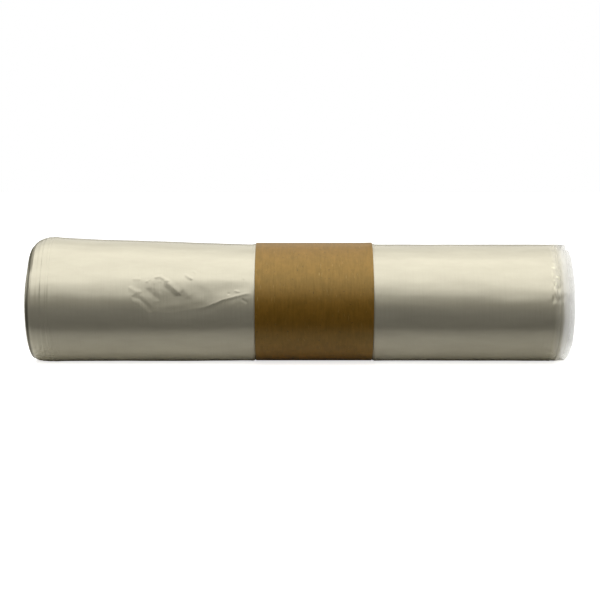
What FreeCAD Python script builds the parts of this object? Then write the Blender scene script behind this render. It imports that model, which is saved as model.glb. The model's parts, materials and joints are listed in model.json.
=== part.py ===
import FreeCAD, Part
import math
import os
import random

import Sketcher
from FreeCAD import Vector

# A roll of clear bin bags lying on its side, held by a kraft paper band.
# Frame: X along the roll from the folded end (-X) to the loose-edge end (+X), Y to the back, Z up.
# The origin is on the surface that the roll lies on, under the middle of its length. Millimetres and degrees.

# Driving sizes: name, value, what it measures.
SIZES = [
    ("RollLength", 300.0, "folded end to the rim of the overhanging film"),
    ("PlainRadius", 32.9, "wound film at the waist and on the loose-edge side"),
    ("FlareRadius", 35.2, "wound film at its thickest, near the folded end"),
    ("LipRadius", 34.5, "wound film where the lip of the flare ends"),
    ("LipReach", 36.0, "folded end to the end of the lip"),
    ("FlatDepth", 0.5, "how far the soft roll is pressed flat where it rests"),
    ("TurnStep", 0.2, "step at the edge of one turn"),
    ("TailAngle", 20.0, "height of the film's tail on the back of the roll, from level"),
    ("ShoulderLength", 12.0, "rounded shoulder of the folded end, along the roll"),
    ("ShoulderDrop", 3.6, "rounded shoulder of the folded end, towards the centre"),
    ("EdgeWidth", 0.1, "slope of a fold edge on the shoulder, along the roll"),
    ("BoreRadius", 6.0, "hollow that the winding spindle left"),
    ("Overhang", 6.0, "how far the outer turns stand past the inner ones"),
    ("OverhangWall", 0.5, "thickness of the overhanging turns"),
    ("TurnPitch", 2.4, "spacing of the turns drawn on the ends"),
    ("GapWidth", 0.5, "gap between two drawn turns"),
    ("GapDepth", 1.2, "depth of that gap"),
    ("EndMargin", 1.6, "solid rim left inside and outside the drawn turns"),
    ("BandStart", 125.6, "folded end to the near edge of the paper band"),
    ("BandWidth", 65.0, "paper band along the roll"),
    ("PaperThickness", 0.2, "one thickness of kraft paper"),
    ("BandGap", 0.2, "clearance between the band and the outermost turn"),
    ("WaistEase", 2.0, "length over which the film eases under the band"),
    ("LapAngle", 31.0, "glued overlap of the band, round the roll"),
    ("LapPlace", -15.0, "middle of that overlap on the back, from level"),
    ("LapRamp", 2.0, "where the outer paper climbs over the inner end"),
    ("CrumpleLength", 66.0, "crumpled film, from the band towards the folded end"),
    ("CrumpleTop", 29.0, "upper edge of the crumpled film on the front, from level"),
    ("CrumpleFoot", -14.0, "lower edge of the crumpled film on the front, from level"),
    ("CrumpleLift", 0.5, "how far the loose outer ply swells there"),
    ("CreaseReach", 4.5, "half the width of one crease"),
    ("CreaseSink", 0.4, "how far the crumpled film is rooted in the roll"),
]

# Fold edges on the rounded shoulder, and how far a straight side of the drawn turns may stray from its curve.
FOLD_EDGES = 5
TURN_STRAY = 0.25

# Facets of the crumpled film along and round the roll, how unevenly they are spread, and the seed of that.
CRUMPLE_COLUMNS = 17
CRUMPLE_ROWS = 7
CRUMPLE_UNEVENNESS = 0.3
CRUMPLE_SEED = 5

# Raised creases of the crumpled film: start and end as shares of the crumple's length from its far end,
# start and end heights round the front as degrees above level, then the crease's height.
CREASES = [
    (0.02, 12.0, 0.33, -8.0, 0.7),
    (0.05, 21.0, 0.27, 20.0, 0.45),
    (0.30, 22.0, 0.56, 2.0, 0.85),
    (0.55, 24.0, 0.78, 15.0, 0.6),
    (0.36, -8.0, 0.76, -6.0, 0.7),
    (0.72, -6.0, 0.96, 6.0, 0.6),
]

FOLD_END = "-Sizes.RollLength / 2"
LOOSE_END = "Sizes.RollLength / 2"
BAND_NEAR = FOLD_END + " + Sizes.BandStart"
BAND_FAR = BAND_NEAR + " + Sizes.BandWidth"
WAIST_LIFT = "Sizes.PaperThickness + Sizes.BandGap + Sizes.TurnStep"


def make_sizes(doc):
    """The spreadsheet of driving sizes. Its cells hold plain numbers."""
    sheet = doc.addObject("Spreadsheet::Sheet", "Sizes")
    for row, (alias, value, note) in enumerate(SIZES, 1):
        sheet.set(f"A{row}", note)
        sheet.set(f"B{row}", str(value))
        sheet.setAlias(f"B{row}", alias)
    doc.recompute()
    return sheet


def cross_sketch(body, name, place):
    """An empty sketch across the roll: its x is the frame's Y, and its y is the frame's Z."""
    sketch = body.newObject("Sketcher::SketchObject", name)
    plane = next(f for f in body.Origin.OriginFeatures if f.Role == "YZ_Plane")
    sketch.AttachmentSupport = [(plane, "")]
    sketch.MapMode = "FlatFace"
    sketch.setExpression("AttachmentOffset.Base.z", place)
    return sketch


def number(item, expression):
    """The present value of an expression, in millimetres or degrees."""
    value = item.evalExpression(expression)
    return float(getattr(value, "Value", value))


def constrain(sketch, name, expression, *terms):
    """Adds one driving dimension to a sketch and binds it to the sheet."""
    value = number(sketch, expression)
    if terms[0] == "Angle":
        value = math.radians(value)
    index = sketch.addConstraint(Sketcher.Constraint(*terms, value))
    sketch.renameConstraint(index, name)
    sketch.setExpression(f"Constraints.{name}", expression)


def arc(centre_height, radius, start, end):
    """An arc about a point on the sketch's upright axis, from one angle in degrees to another."""
    circle = Part.Circle(Vector(0, centre_height, 0), Vector(0, 0, 1), radius)
    return Part.ArcOfCircle(circle, math.radians(start), math.radians(end))


def round_flat_sketch(body, name, place, radius, height):
    """A circle whose foot is cut by a level chord, FlatDepth above its lowest point.

    radius and height are the circle's, and height is that of its centre above the surface."""
    sketch = cross_sketch(body, name, place)
    depth = number(sketch, "Sizes.FlatDepth")
    reach = number(sketch, radius)
    foot = -math.degrees(math.asin((reach - depth) / reach))
    rim = arc(number(sketch, height), reach, foot, 180.0 - foot)
    sketch.addGeometry(rim, False)
    sketch.addGeometry(Part.LineSegment(rim.EndPoint, rim.StartPoint), False)
    sketch.addConstraint(Sketcher.Constraint("Coincident", 0, 2, 1, 1))
    sketch.addConstraint(Sketcher.Constraint("Coincident", 1, 2, 0, 1))
    sketch.addConstraint(Sketcher.Constraint("Horizontal", 1))
    sketch.addConstraint(Sketcher.Constraint("PointOnObject", 0, 3, -2))
    constrain(sketch, "height", height, "DistanceY", -1, 1, 0, 3)
    constrain(sketch, "radius", radius, "Radius", 0)
    constrain(sketch, "level", f"{radius} - Sizes.FlatDepth", "DistanceY", 1, 1, 0, 3)
    return sketch


def turn_sketch(body, name, place, radius, lift):
    """The roll's section: an outer turn that ends in a step at the tail on the back, and a flat foot.

    radius is the turn under the tail, and lift is the flat foot's height above the surface."""
    sketch = cross_sketch(body, name, place)
    outer = f"{radius} + Sizes.TurnStep"
    level = f"{radius} - Sizes.FlatDepth"
    height = f"{lift} + {level}"
    reach = number(sketch, radius)
    outer_reach = number(sketch, outer)
    centre = number(sketch, height)
    tail = number(sketch, "Sizes.TailAngle")
    foot = -math.degrees(math.asin(number(sketch, level) / reach))
    outer_foot = -math.degrees(math.asin(number(sketch, level) / outer_reach))
    under = arc(centre, reach, tail, 180.0 - foot)
    over = arc(centre, outer_reach, outer_foot, tail)
    sketch.addGeometry(over, False)
    sketch.addGeometry(Part.LineSegment(over.EndPoint, under.StartPoint), False)
    sketch.addGeometry(under, False)
    sketch.addGeometry(Part.LineSegment(under.EndPoint, over.StartPoint), False)
    for first in range(4):
        sketch.addConstraint(Sketcher.Constraint("Coincident", first, 2, (first + 1) % 4, 1))
    sketch.addConstraint(Sketcher.Constraint("Coincident", 0, 3, 2, 3))
    sketch.addConstraint(Sketcher.Constraint("Horizontal", 3))
    sketch.addConstraint(Sketcher.Constraint("PointOnObject", 0, 3, -2))
    sketch.addConstraint(Sketcher.Constraint("PointOnObject", 0, 3, 1))
    constrain(sketch, "height", height, "DistanceY", -1, 1, 0, 3)
    constrain(sketch, "radius", radius, "Radius", 2)
    constrain(sketch, "outer", outer, "Radius", 0)
    constrain(sketch, "level", level, "DistanceY", 3, 1, 0, 3)
    constrain(sketch, "tail", "(180 + Sizes.TailAngle) * 1 deg", "Angle", 1)
    return sketch


def stations():
    """Where the roll's section changes along it: place, radius and lift, as expressions.

    The turns' fold edges stand one behind another on the rounded shoulder."""
    rows = [(FOLD_END, "Sizes.FlareRadius - Sizes.ShoulderDrop", "Sizes.ShoulderDrop")]
    for edge in range(1, FOLD_EDGES + 1):
        turn = 90.0 * edge / FOLD_EDGES
        place = f"{FOLD_END} + Sizes.ShoulderLength * (1 - cos({turn} deg))"
        drop = f"Sizes.ShoulderDrop * (1 - sin({turn} deg))"
        under = f"({drop} + Sizes.TurnStep)"
        rows.append((f"{place} - Sizes.EdgeWidth", f"Sizes.FlareRadius - {under}", under))
        rows.append((place, f"Sizes.FlareRadius - {drop}", drop))
    rows.append((f"{FOLD_END} + Sizes.LipReach", "Sizes.LipRadius", "0"))
    rows.append((f"{BAND_NEAR} - Sizes.WaistEase", "Sizes.PlainRadius", "0"))
    rows.append((BAND_NEAR, "Sizes.PlainRadius", WAIST_LIFT))
    rows.append((BAND_FAR, "Sizes.PlainRadius", WAIST_LIFT))
    rows.append((f"{BAND_FAR} + Sizes.WaistEase", "Sizes.PlainRadius", "0"))
    rows.append((LOOSE_END, "Sizes.PlainRadius", "0"))
    return rows


def make_wound_film(doc):
    """The wound film before its ends are drawn: flared, waisted under the band, hollow, recessed at +X."""
    body = doc.addObject("PartDesign::Body", "WoundFilm")
    sketches = [
        turn_sketch(body, f"Turn{count:02d}", place, f"({radius})", f"({lift})")
        for count, (place, radius, lift) in enumerate(stations())
    ]
    doc.recompute()
    loft = body.newObject("PartDesign::AdditiveLoft", "Winding")
    loft.Profile = sketches[0]
    loft.Sections = sketches[1:]
    loft.Ruled = True
    doc.recompute()

    centre = "Sizes.PlainRadius - Sizes.FlatDepth"
    inside = "(Sizes.PlainRadius - Sizes.OverhangWall)"
    recess = body.newObject("PartDesign::Pocket", "Recess")
    recess.Profile = round_flat_sketch(body, "InsideOverhang", LOOSE_END, inside, centre)
    recess.setExpression("Length", "Sizes.Overhang")

    hollow = cross_sketch(body, "SpindleHollow", LOOSE_END)
    place = Vector(0, number(hollow, centre), 0)
    rim = Part.Circle(place, Vector(0, 0, 1), number(hollow, "Sizes.BoreRadius"))
    hollow.addGeometry(rim, False)
    hollow.addConstraint(Sketcher.Constraint("PointOnObject", 0, 3, -2))
    constrain(hollow, "height", centre, "DistanceY", -1, 1, 0, 3)
    constrain(hollow, "radius", "Sizes.BoreRadius", "Radius", 0)
    bore = body.newObject("PartDesign::Pocket", "Bore")
    bore.Profile = hollow
    bore.Type = "ThroughAll"
    doc.recompute()
    return body, sketches


def station_values(sketches):
    """Each station as numbers: place along the roll, radius, and the centre's height."""
    return [
        (turn.AttachmentOffset.Base.z, turn.getDatum("radius").Value, turn.getDatum("height").Value)
        for turn in sketches
    ]


def spiral_gap(sheet, start_x, depth, outer_radius, inner_height, outer_height):
    """The gap between the turns, as the solid that is cut from one end.

    The turns start about the hollow and end about the film's own centre there, so they fit both."""
    first = sheet.BoreRadius + sheet.EndMargin
    last = outer_radius - sheet.EndMargin - sheet.GapWidth
    growth = sheet.TurnPitch / (2 * math.pi)
    angles = [0.0]
    while first + growth * angles[-1] < last:
        radius = first + growth * angles[-1]
        angles.append(angles[-1] + 2 * math.acos(1 - TURN_STRAY / radius))

    def spiral(offset):
        points = []
        for angle in angles:
            share = angle / angles[-1]
            radius = first + (last - first) * share + offset
            height = inner_height + (outer_height - inner_height) * share
            points.append(Vector(start_x, radius * math.cos(angle), height + radius * math.sin(angle)))
        return points

    inner = spiral(0.0)
    outer = spiral(sheet.GapWidth)
    rim = inner + outer[::-1] + inner[:1]
    face = Part.Face(Part.makePolygon(rim))
    return face.extrude(Vector(depth, 0, 0))


def film_surface(values, place, angle):
    """A point of the wound film on the front of the roll, and the way out of it. angle is from level."""
    before = max(count for count, row in enumerate(values[:-1]) if row[0] <= place)
    (x0, r0, h0), (x1, r1, h1) = values[before : before + 2]
    share = (place - x0) / (x1 - x0)
    outward = Vector(0, -math.cos(angle), math.sin(angle))
    return Vector(place, 0, h0 + (h1 - h0) * share) + outward * (r0 + (r1 - r0) * share), outward


def crease_height(sheet, along, angle):
    """How far the creases lift the outer ply at a place of the crumpled film."""
    radius = sheet.PlainRadius
    here = Vector(along, radius * math.radians(angle), 0)
    lift = 0.0
    for share_a, angle_a, share_b, angle_b, height in CREASES:
        start = Vector(share_a * sheet.CrumpleLength, radius * math.radians(angle_a), 0)
        end = Vector(share_b * sheet.CrumpleLength, radius * math.radians(angle_b), 0)
        run = end - start
        share = min(1.0, max(0.0, (here - start).dot(run) / run.dot(run)))
        away = (here - start - run * share).Length / sheet.CreaseReach
        lift = max(lift, height * max(0.0, 1.0 - away))
    return lift


def crumpled_ply(sheet, values):
    """The loose outer ply beside the band: a low swelling of flat facets with raised creases.

    Its rim and its inner point lie inside the roll, so that fusing leaves only the facets."""
    far = -sheet.RollLength / 2 + sheet.BandStart - sheet.WaistEase - sheet.CrumpleLength
    columns, rows = CRUMPLE_COLUMNS, CRUMPLE_ROWS
    chance = random.Random(CRUMPLE_SEED)
    grid = []
    for column in range(columns + 1):
        line = []
        for row in range(rows + 1):
            rim = column in (0, columns) or row in (0, rows)
            shift = 0.0 if rim else CRUMPLE_UNEVENNESS
            u = (column + chance.uniform(-shift, shift)) / columns
            v = (row + chance.uniform(-shift, shift)) / rows
            angle = sheet.CrumpleFoot + (sheet.CrumpleTop - sheet.CrumpleFoot) * v
            along = u * sheet.CrumpleLength
            point, outward = film_surface(values, far + along, math.radians(angle))
            swell = math.sin(math.pi * u) * math.sin(math.pi * v)
            lift = sheet.CrumpleLift * swell + crease_height(sheet, along, angle)
            line.append(point + outward * (-sheet.CreaseSink if rim else lift))
        grid.append(line)

    triangles = []
    for column in range(columns):
        for row in range(rows):
            low, right = grid[column][row], grid[column + 1][row]
            up, across = grid[column][row + 1], grid[column + 1][row + 1]
            triangles.append([low, right, across])
            triangles.append([low, across, up])
    loop = [line[0] for line in grid] + grid[-1][1:] + [line[-1] for line in grid[-2::-1]]
    loop += grid[0][-2:0:-1]
    middle = sum(loop, Vector()) / len(loop)
    inner = middle + Vector(0, sheet.PlainRadius / 3, 0)
    triangles += [[after, before, inner] for before, after in zip(loop, loop[1:] + loop[:1])]
    faces = [Part.Face(Part.makePolygon([*points, points[0]])) for points in triangles]
    solid = Part.Solid(Part.Shell(faces))
    return solid if solid.Volume > 0 else solid.reversed()


def shape_feature(doc, name, shape):
    """A document object that holds a shape worked out in this script."""
    feature = doc.addObject("Part::Feature", name)
    feature.Shape = shape
    return feature


def make_film_roll(doc, sheet):
    """The whole roll of film: the winding, its crumpled outer ply and the turns on both ends."""
    body, sketches = make_wound_film(doc)
    values = station_values(sketches)
    creased = doc.addObject("Part::MultiFuse", "CreasedFilm")
    creased.Shapes = [body, shape_feature(doc, "CrumpledPly", crumpled_ply(sheet, values))]

    bore_height = sheet.PlainRadius - sheet.FlatDepth
    inside_radius = sheet.PlainRadius - sheet.OverhangWall
    fold_x, fold_radius, fold_height = values[0]
    loose_x = sheet.RollLength / 2 - sheet.Overhang
    depth = sheet.GapDepth
    gaps = [
        spiral_gap(sheet, fold_x, depth, fold_radius, bore_height, fold_height),
        spiral_gap(sheet, loose_x, -depth, inside_radius, bore_height, bore_height),
    ]
    roll = doc.addObject("Part::Cut", "FilmRoll")
    roll.Base = creased
    roll.Tool = shape_feature(doc, "TurnGaps", Part.makeCompound(gaps))
    roll.Label = "film_roll"
    doc.recompute()
    return roll


def lap_sketch(body, outer, centre):
    """The glued lap's section: one more thickness of paper, from its outer end to a short ramp."""
    lap = cross_sketch(body, "Lap", BAND_NEAR)
    cover = f"{outer} + Sizes.PaperThickness"
    bottom = "(Sizes.LapPlace - Sizes.LapAngle / 2)"
    top = "(Sizes.LapPlace + Sizes.LapAngle / 2)"
    ramp = f"({top} + Sizes.LapRamp)"
    middle = number(lap, centre)
    low, high, end = (number(lap, angle) for angle in (bottom, top, ramp))
    inner_arc = arc(middle, number(lap, outer), low, end)
    outer_arc = arc(middle, number(lap, cover), low, high)
    lap.addGeometry(inner_arc, False)
    lap.addGeometry(outer_arc, False)
    lap.addGeometry(Part.LineSegment(inner_arc.StartPoint, outer_arc.StartPoint), False)
    lap.addGeometry(Part.LineSegment(inner_arc.EndPoint, outer_arc.EndPoint), False)
    for point in (inner_arc.EndPoint, outer_arc.EndPoint, outer_arc.StartPoint):
        lap.addGeometry(Part.LineSegment(Vector(0, middle, 0), point), True)
    for terms in (
        (0, 3, 1, 3),
        (2, 1, 0, 1),
        (2, 2, 1, 1),
        (3, 1, 0, 2),
        (3, 2, 1, 2),
        (4, 1, 0, 3),
        (4, 2, 0, 2),
        (5, 1, 0, 3),
        (5, 2, 1, 2),
        (6, 1, 0, 3),
        (6, 2, 1, 1),
    ):
        lap.addConstraint(Sketcher.Constraint("Coincident", *terms))
    lap.addConstraint(Sketcher.Constraint("PointOnObject", 0, 3, -2))
    lap.addConstraint(Sketcher.Constraint("PointOnObject", 0, 1, 6))
    constrain(lap, "height", centre, "DistanceY", -1, 1, 0, 3)
    constrain(lap, "under", outer, "Radius", 0)
    constrain(lap, "over", cover, "Radius", 1)
    constrain(lap, "ramp", f"{ramp} * 1 deg", "Angle", 4)
    constrain(lap, "top", f"{top} * 1 deg", "Angle", 5)
    constrain(lap, "bottom", f"{bottom} * 1 deg", "Angle", 6)
    return lap


def make_paper_band(doc):
    """The kraft paper band: one strip round the roll, glued where its ends lap on the back."""
    body = doc.addObject("PartDesign::Body", "PaperBand")
    body.Label = "paper_band"
    inner = "(Sizes.PlainRadius + Sizes.TurnStep + Sizes.BandGap)"
    outer = f"({inner} + Sizes.PaperThickness)"
    centre = f"({outer} - Sizes.FlatDepth)"

    strip = body.newObject("PartDesign::Pad", "Strip")
    strip.Profile = round_flat_sketch(body, "Outside", BAND_NEAR, outer, centre)
    strip.setExpression("Length", "Sizes.BandWidth")
    opening = body.newObject("PartDesign::Pocket", "Opening")
    opening.Profile = round_flat_sketch(body, "Inside", BAND_FAR, inner, centre)
    opening.Type = "ThroughAll"
    glued = body.newObject("PartDesign::Pad", "GluedLap")
    glued.Profile = lap_sketch(body, outer, centre)
    glued.setExpression("Length", "Sizes.BandWidth")
    doc.recompute()
    return body


def check(doc, subparts):
    """Stops the build if anything in the document failed to recompute, or a sub-part has no sound shape."""
    for item in doc.Objects:
        if "Invalid" in item.State or "Error" in item.State:
            raise RuntimeError(f"{item.Label} failed: {item.State}")
    for item in subparts:
        if item.Shape.isNull() or not item.Shape.isValid() or not item.Shape.Solids:
            raise RuntimeError(f"{item.Label} has no valid solid")


def main():
    doc = FreeCAD.newDocument("BinBagRoll")
    sheet = make_sizes(doc)
    subparts = [make_film_roll(doc, sheet), make_paper_band(doc)]
    doc.recompute()
    check(doc, subparts)
    os.makedirs("parts", exist_ok=True)
    for item in subparts:
        item.Shape.exportStep(os.path.join("parts", item.Label + ".step"))
        box = item.Shape.BoundBox
        print(
            item.Label,
            f"solids {len(item.Shape.Solids)}, volume {item.Shape.Volume:.1f} mm3,",
            f"x {box.XMin:.2f} to {box.XMax:.2f}, y {box.YMin:.2f} to {box.YMax:.2f},",
            f"z {box.ZMin:.2f} to {box.ZMax:.2f}",
        )


main()
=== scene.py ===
import json
import math

import bpy
import numpy as np
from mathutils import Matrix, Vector, noise


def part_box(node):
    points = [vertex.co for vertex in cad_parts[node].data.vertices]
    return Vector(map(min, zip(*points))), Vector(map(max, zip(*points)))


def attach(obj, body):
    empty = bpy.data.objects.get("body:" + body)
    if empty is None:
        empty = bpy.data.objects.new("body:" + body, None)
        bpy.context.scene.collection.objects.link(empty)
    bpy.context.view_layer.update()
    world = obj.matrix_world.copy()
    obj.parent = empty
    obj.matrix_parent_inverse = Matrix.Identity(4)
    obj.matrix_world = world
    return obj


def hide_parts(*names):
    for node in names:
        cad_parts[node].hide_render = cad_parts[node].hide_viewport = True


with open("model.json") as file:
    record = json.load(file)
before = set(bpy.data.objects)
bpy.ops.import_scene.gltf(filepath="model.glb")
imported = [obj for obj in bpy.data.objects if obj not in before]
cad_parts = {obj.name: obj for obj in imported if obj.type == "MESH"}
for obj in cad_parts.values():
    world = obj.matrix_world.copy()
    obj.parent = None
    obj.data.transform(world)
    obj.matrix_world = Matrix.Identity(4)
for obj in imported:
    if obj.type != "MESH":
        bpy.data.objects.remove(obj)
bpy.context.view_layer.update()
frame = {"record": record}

# A roll of clear bin bags lying on its side, held by a kraft paper band.
# Lengths are in metres, in the frame of the solids: X runs along the roll from the folded end, Y to the back
# and Z up.

bl_info = {
    "name": "Bin bag roll",
    "version": (1, 0, 0),
    "blender": (4, 5, 0),
    "location": "3D View > Sidebar > Bag roll",
    "description": "A roll of clear bin bags with a kraft paper band, and the stage it lies on",
    "category": "Object",
}

MM = 0.001
FILM_LOW, FILM_HIGH = (Vector(corner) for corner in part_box("film_roll"))
BAND_LOW, BAND_HIGH = (Vector(corner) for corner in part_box("paper_band"))
FOLD_END = FILM_LOW.x
RIM = FILM_HIGH.x

# The bore mount gives the hollow's radius, height and length, so the end of the inner turns too.
HOLLOW = next(mount for mount in frame["record"]["mounts"] if mount["name"] == "spindle_hollow")
AXIS_HEIGHT = HOLLOW["pos_m"][2]
INNER_END = FOLD_END + HOLLOW["dims"]["length_mm"] * MM


def srgb(code):
    """A hex colour as the linear values that the shader takes."""
    parts = [int(code[place : place + 2], 16) / 255 for place in (0, 2, 4)]
    return tuple(p / 12.92 if p <= 0.04045 else ((p + 0.055) / 1.055) ** 2.4 for p in parts) + (1.0,)


def colour(name, description, code):
    """A colour property whose default is a hex colour."""
    return bpy.props.FloatVectorProperty(
        name=name, description=description, default=srgb(code), size=4, min=0.0, max=1.0, subtype="COLOR"
    )


class WoundFilmSettings(bpy.types.PropertyGroup):
    """Sizes of the wound film that the solids' boxes don't give, and its colours."""

    plain_radius: bpy.props.FloatProperty(
        name="Plain radius",
        description="Film at the waist and the loose-edge side",
        default=0.0329,
        unit="LENGTH",
    )
    flare_radius: bpy.props.FloatProperty(
        name="Flare radius",
        description="Film at its thickest, near the folded end",
        default=0.0352,
        unit="LENGTH",
    )
    lip_radius: bpy.props.FloatProperty(
        name="Lip radius", description="Film where the lip of the flare ends", default=0.0345, unit="LENGTH"
    )
    lip_reach: bpy.props.FloatProperty(
        name="Lip reach", description="Folded end to the end of the lip", default=0.036, unit="LENGTH"
    )
    shoulder_length: bpy.props.FloatProperty(
        name="Shoulder length", description="Rounded shoulder, along the roll", default=0.012, unit="LENGTH"
    )
    shoulder_drop: bpy.props.FloatProperty(
        name="Shoulder drop",
        description="Rounded shoulder, towards the centre",
        default=0.0036,
        unit="LENGTH",
    )
    turn_step: bpy.props.FloatProperty(
        name="Turn step", description="Step at the edge of one turn", default=0.0002, unit="LENGTH"
    )
    tail_angle: bpy.props.FloatProperty(
        name="Tail angle",
        description="Height of the outermost bag's edge on the back, from level",
        default=math.radians(20),
        subtype="ANGLE",
    )
    turn_pitch: bpy.props.FloatProperty(
        name="Turn pitch",
        description="Spacing of the bundles of turns on the ends",
        default=0.0024,
        unit="LENGTH",
    )
    sag: bpy.props.FloatProperty(
        name="Sag",
        description="How far the loose turns stand out low on the front",
        default=0.0014,
        unit="LENGTH",
    )
    round_steps: bpy.props.IntProperty(
        name="Round steps", description="Faces round the roll", default=180, min=24
    )
    light_film: colour("Light film", "Paler clouds of the wound film", "E8E2CC")
    dark_film: colour("Dark film", "Darker clouds of the wound film", "CFC9B5")


class LoosePlySettings(bpy.types.PropertyGroup):
    """Sizes and colours of the outer plies that stand past the inner turns."""

    wall: bpy.props.FloatProperty(
        name="Wall", description="Thickness of the outermost plies", default=0.0001, unit="LENGTH"
    )
    reach: bpy.props.FloatProperty(
        name="Reach",
        description="Length of the loose plies, back from the rim",
        default=0.0105,
        unit="LENGTH",
    )
    inner_short: bpy.props.FloatProperty(
        name="Inner short",
        description="How far short of the rim the plies under them end",
        default=0.0027,
        unit="LENGTH",
    )
    inner_depth: bpy.props.FloatProperty(
        name="Inner depth", description="Thickness of the plies under them", default=0.0003, unit="LENGTH"
    )
    milky: colour("Milky", "Plies where they leave the roll", "F2EEDF")
    clear: colour("Clear", "Plies at the rim", "C6C5BB")


class PaperBandSettings(bpy.types.PropertyGroup):
    """Sizes of the kraft paper band that the solid's box doesn't give, and its colours."""

    thickness: bpy.props.FloatProperty(
        name="Thickness", description="One thickness of kraft paper", default=0.0002, unit="LENGTH"
    )
    lap_place: bpy.props.FloatProperty(
        name="Lap place",
        description="Middle of the glued lap, from level on the front",
        default=math.radians(195),
        subtype="ANGLE",
    )
    lap_angle: bpy.props.FloatProperty(
        name="Lap angle", description="Glued lap, round the roll", default=math.radians(31), subtype="ANGLE"
    )
    film_gap: bpy.props.FloatProperty(
        name="Film gap",
        description="Paper's inside to the film's plain radius",
        default=0.0004,
        unit="LENGTH",
    )
    dark_kraft: colour("Dark kraft", "Darker fibres and clouds of the paper", "7C5910")
    light_kraft: colour("Light kraft", "Paler fibres and clouds of the paper", "A17428")


class StageSettings(bpy.types.PropertyGroup):
    """Camera, lamps and the room's light."""

    camera_distance: bpy.props.FloatProperty(
        name="Camera distance", description="Camera to the roll's axis", default=0.825, unit="LENGTH"
    )
    camera_elevation: bpy.props.FloatProperty(
        name="Camera elevation",
        description="Camera above the horizon",
        default=math.radians(6),
        subtype="ANGLE",
    )
    frame_width: bpy.props.FloatProperty(
        name="Frame width",
        description="Width of the view at the roll's axis",
        default=0.3402,
        unit="LENGTH",
    )
    view_centre: bpy.props.FloatVectorProperty(
        name="View centre",
        description="Where the camera looks",
        default=(0.0003, 0.0, 0.0339),
        unit="LENGTH",
    )
    lamp_height: bpy.props.FloatProperty(
        name="Lamp height", description="Soft boxes above the floor", default=1.0, unit="LENGTH"
    )
    lamp_length: bpy.props.FloatProperty(
        name="Lamp length", description="Soft boxes along the roll", default=2.2, unit="LENGTH"
    )
    lamp_share: bpy.props.FloatProperty(
        name="Lamp share", description="Brightness of all the soft boxes", default=1.0
    )
    room_light: bpy.props.FloatProperty(
        name="Room light", description="Brightness of the room round the stage", default=0.085
    )
    room_tint: colour("Room tint", "Colour of the room's light", "FFF8D7")


# Soft boxes over the roll: front and back edge in metres (the camera's side is negative), and radiance.
# Each hangs a step under the one before, and the light is strongest over the roll and fades to both sides.
SOFT_BOXES = (
    (-6.0, 6.0, 0.14),
    (-3.6, 3.6, 0.16),
    (-2.4, 2.4, 0.46),
    (-1.3, 0.6, 0.34),
    (-0.9, 0.2, 0.4),
)
SOFT_BOX_STEP = 0.02

# Length round the film, in millimetres, for one degree.
ARC = 0.575

# Rings of faces on each end, and along the hollow.
END_RINGS = 58
HOLLOW_RINGS = 9

# The round edges of the folded end and the loose-edge end, the gap between the outer plies beside the folded
# end, and the place of the dark line of painted shade that stands for the gap's shadow.
FOLD_ROUND = 0.7 * MM
LOOSE_ROUND = 0.8 * MM
GAP_PLACE = 1.3 * MM
GAP_SHADE_LINE = 1.2 * MM

# Waves of the loose film: height, lengths along x, y and z, all in millimetres, and the seed of their noise.
FILM_WAVES = ((0.16, (45, 14, 14), 1), (0.1, (24, 6, 6), 7), (0.07, (9, 16, 16), 2))

# Fold edges on the shoulder: millimetres from the folded end, and share of a full step.
FOLD_EDGES = ((3.0, 0.4), (5.9, 0.4), (8.3, 1.0), (11.2, 0.7), (12.6, 1.1))

# The dent of the crumpled ply: its upper edge, its lower edge, and its depth in millimetres. Places on the
# crumpled ply are millimetres from the folded end and degrees above level.
DENT_UPPER = ((55, 29), (66, 29), (75, 31), (84, 33), (94, 32.5), (120, 28))
DENT_LOWER = (
    *((55, 19), (60, 12), (66, 4), (70, -2), (80, -3.5)),
    *((90, 0), (98, 2), (104, 5.7), (108, 9), (121, 15)),
)
DENT_DEPTH = 0.72

# Creases of the crumpled ply: places, and width and height in millimetres. A furrow's height is below zero.
CREASES = (
    (((56, 22), (60.4, 17), (64.8, 16)), 1.9, 0.13),
    (((57.4, 29), (64.8, 29)), 1.3, 0.1),
    (((68.6, 29.6), (65.2, 24)), 1.0, 0.14),
    (((66.7, 28), (69.5, 25)), 1.2, -0.12),
    (((69.4, 30), (73.8, 31.7), (75.4, 30), (79.9, 25.5)), 1.2, 0.24),
    (((70.5, 27), (70.5, 14)), 0.9, -0.07),
    (((74, 29), (74, 13)), 0.9, -0.07),
    (((75.6, 28), (80.4, 22), (85.6, 13.5)), 2.9, 0.33),
    (((80, 30), (86, 20), (91, 10)), 3.0, 0.1),
    (((66, 20), (74, 8)), 2.6, -0.1),
    (((86, 35.3), (90, 30.5), (92.6, 27.3)), 1.2, 0.26),
    (((90.5, 40), (94.5, 33.3)), 0.9, 0.14),
    (((94.9, 40), (97.2, 34.3)), 0.9, 0.12),
    (((58, 12.5), (63, 9), (67, 2.5), (70, -3.5)), 2.2, -0.18),
    (((109, 15.5), (113.8, 13.7)), 0.9, -0.12),
    (((113, 18), (119, 15.8)), 0.9, 0.12),
    (((117, 10.5), (123, 5)), 1.0, -0.1),
    (((118.5, 34), (120.5, 26)), 0.8, 0.12),
    (((120.4, 29.5), (121.6, 28.5)), 1.0, 0.5),
)

# Factor on the heights of all creases.
CREASE_RELIEF = 1.2

# Heights of the film's soft forms: the ridge along the front, the swelling beside the band, and how far the
# band presses in.
RIDGE = 0.1 * MM
SWELLING = 0.12 * MM
PRESSED = 0.25 * MM

# The film's waist is raised onto the middle of the band, which stands this much above the hollow's axis.
WAIST_RAISE = 0.6 * MM

# Depths in the end faces, in millimetres: seams between bundles of turns, unevenness from one bundle to the
# next, and small puckers.
SEAM_DEPTH, UNEVEN_DEPTH, PUCKER_DEPTH = 0.75, 0.5, 0.15

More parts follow.
